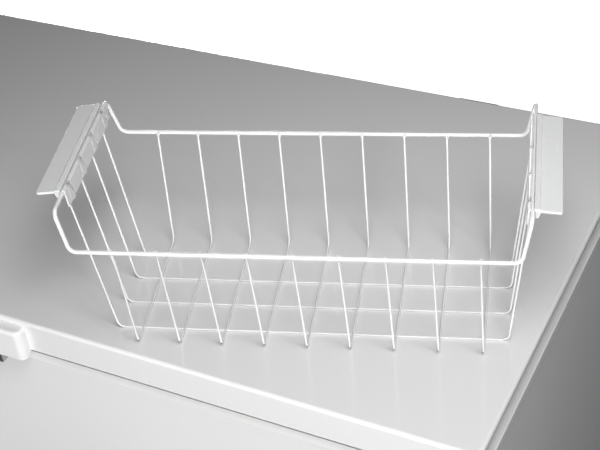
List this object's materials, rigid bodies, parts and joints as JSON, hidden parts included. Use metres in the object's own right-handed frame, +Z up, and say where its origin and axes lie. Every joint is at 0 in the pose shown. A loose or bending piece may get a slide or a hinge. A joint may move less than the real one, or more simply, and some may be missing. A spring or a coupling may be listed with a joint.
{
  "type": "chest freezer",
  "caption": "White chest freezer with a flat insulated lid on sprung rear hinges, a metal tub with a compressor step, and a loose wire basket on the lid.",
  "frame": {"origin": "middle of the whole footprint on the floor, the basket's overhanging grip included; the case's own middle is 14.5 mm to the left of it", "axes": "+X to the right along the case, +Y to the rear, +Z up; the front faces -Y"},
  "size_m": [1.3553, 0.6622, 1.0808],
  "materials": {
    "lid_enamel": "glossy white enamel, slightly orange-peeled",
    "case_enamel": "satin white enamel",
    "bare_steel": "zinc-plated steel",
    "white_plastic": "smooth white moulded plastic",
    "grey_plastic": "fine-textured grey plastic",
    "liner_sheet": "stucco-embossed white-coated sheet",
    "foam": "blown polyurethane foam",
    "seal_rubber": "soft grey magnetic seal",
    "copper_tube": "drawn copper",
    "pump_black": "semi-gloss black paint",
    "lamp_lens": "clear lens",
    "lamp_board": "circuit board",
    "coated_wire": "glossy white plastic coating"
  },
  "bodies": {
    "case": {"front_panel": "case_enamel", "side_panel_left": "case_enamel", "side_panel_right": "case_enamel", "rear_panel": "bare_steel", "base_tray": "bare_steel", "insulation_foam": "foam", "inner_liner": "liner_sheet", "top_frame": "white_plastic", "evaporator_coil": "copper_tube", "condenser_coil": "copper_tube", "compressor_shell": "pump_black", "compressor_grommets": "seal_rubber", "compressor_bolts": "bare_steel", "start_relay_cover": "grey_plastic", "filter_drier": "copper_tube", "refrigerant_pipes": "copper_tube", "control_bezel": "white_plastic", "indicator_lamps": "lamp_lens", "thermostat_body": "grey_plastic", "freeze_switch_body": "grey_plastic", "ventilation_grille": "white_plastic", "drain_tube": "white_plastic", "front_feet": "grey_plastic", "roller_brackets": "bare_steel", "roller_axles": "bare_steel", "mains_gland": "grey_plastic", "terminal_box": "grey_plastic", "hinge_bases": "bare_steel", "hinge_pins": "bare_steel", "hinge_springs": "bare_steel", "hinge_base_screws": "bare_steel", "lock_keeper": "bare_steel"},
    "lid": {"lid_top_skin": "lid_enamel", "lid_side_trim_left": "white_plastic", "lid_side_trim_right": "white_plastic", "lid_foam": "foam", "lid_inner_liner": "white_plastic", "lid_gasket": "seal_rubber", "lid_lamp_cover": "lamp_lens", "lid_lamp_board": "lamp_board", "lid_handle": "white_plastic", "lid_hinge_arms": "bare_steel", "hinge_arm_screws": "bare_steel"},
    "lock": {"lock_barrel": "bare_steel", "lock_tongue": "bare_steel"},
    "basket": {"basket_rail_frame": "coated_wire", "basket_cross_wires": "coated_wire", "basket_long_wires": "coated_wire"},
    "basket_grip_left": {"basket_grip_left": "white_plastic"},
    "basket_grip_right": {"basket_grip_right": "white_plastic"},
    "thermostat_knob": {"thermostat_knob": "grey_plastic"},
    "freeze_switch": {"freeze_switch_rocker": "grey_plastic"},
    "drain_plug": {"drain_plug": "seal_rubber"},
    "drain_cap": {"drain_cap": "white_plastic"},
    "rear_roller_left": {"rear_roller_left": "grey_plastic"},
    "rear_roller_right": {"rear_roller_right": "grey_plastic"}
  },
  "joints": [
    {"name": "lid_hinge", "type": "hinge", "parent": "case", "child": "lid", "pos_m": [-0.0145, 0.317, 0.838], "axis": [-1, 0, 0], "range_deg": [0, 80], "stiffness_Nm_per_rad": 12, "springref_deg": 108.86},
    {"name": "basket_lift", "type": "slide", "parent": "lid", "child": "basket", "axis": [0, 0, 1], "range_m": [0, 0.35]},
    {"name": "basket_grip_left_turn", "type": "hinge", "parent": "basket", "child": "basket_grip_left", "pos_m": [0.13732, -0.22659, 1.07505], "axis": [0.3015, -0.9535, 0], "range_deg": [0, 88]},
    {"name": "basket_grip_right_turn", "type": "hinge", "parent": "basket", "child": "basket_grip_right", "pos_m": [0.62168, -0.07341, 1.07505], "axis": [-0.3015, 0.9535, 0], "range_deg": [0, 88]},
    {"name": "thermostat_turn", "type": "hinge", "parent": "case", "child": "thermostat_knob", "pos_m": [0.4855, -0.3115, 0.26], "axis": [0, -1, 0], "range_deg": [0, 270]},
    {"name": "freeze_switch_rock", "type": "hinge", "parent": "case", "child": "freeze_switch", "pos_m": [0.5455, -0.3115, 0.26], "axis": [1, 0, 0], "range_deg": [-8, 8]},
    {"name": "lock_turn", "type": "hinge", "parent": "lid", "child": "lock", "pos_m": [-0.0145, -0.326, 0.838], "axis": [0, -1, 0], "range_deg": [0, 90]},
    {"name": "drain_plug_pull", "type": "slide", "parent": "case", "child": "drain_plug", "axis": [0, 0, 1], "range_m": [0, 0.05]},
    {"name": "drain_cap_pull", "type": "slide", "parent": "case", "child": "drain_cap", "axis": [0, -1, 0], "range_m": [0, 0.03]},
    {"name": "rear_roller_left_spin", "type": "hinge", "parent": "case", "child": "rear_roller_left", "pos_m": [-0.6045, 0.236, 0.013], "axis": [1, 0, 0], "continuous": true},
    {"name": "rear_roller_right_spin", "type": "hinge", "parent": "case", "child": "rear_roller_right", "pos_m": [0.5755, 0.236, 0.013], "axis": [1, 0, 0], "continuous": true}
  ]
}
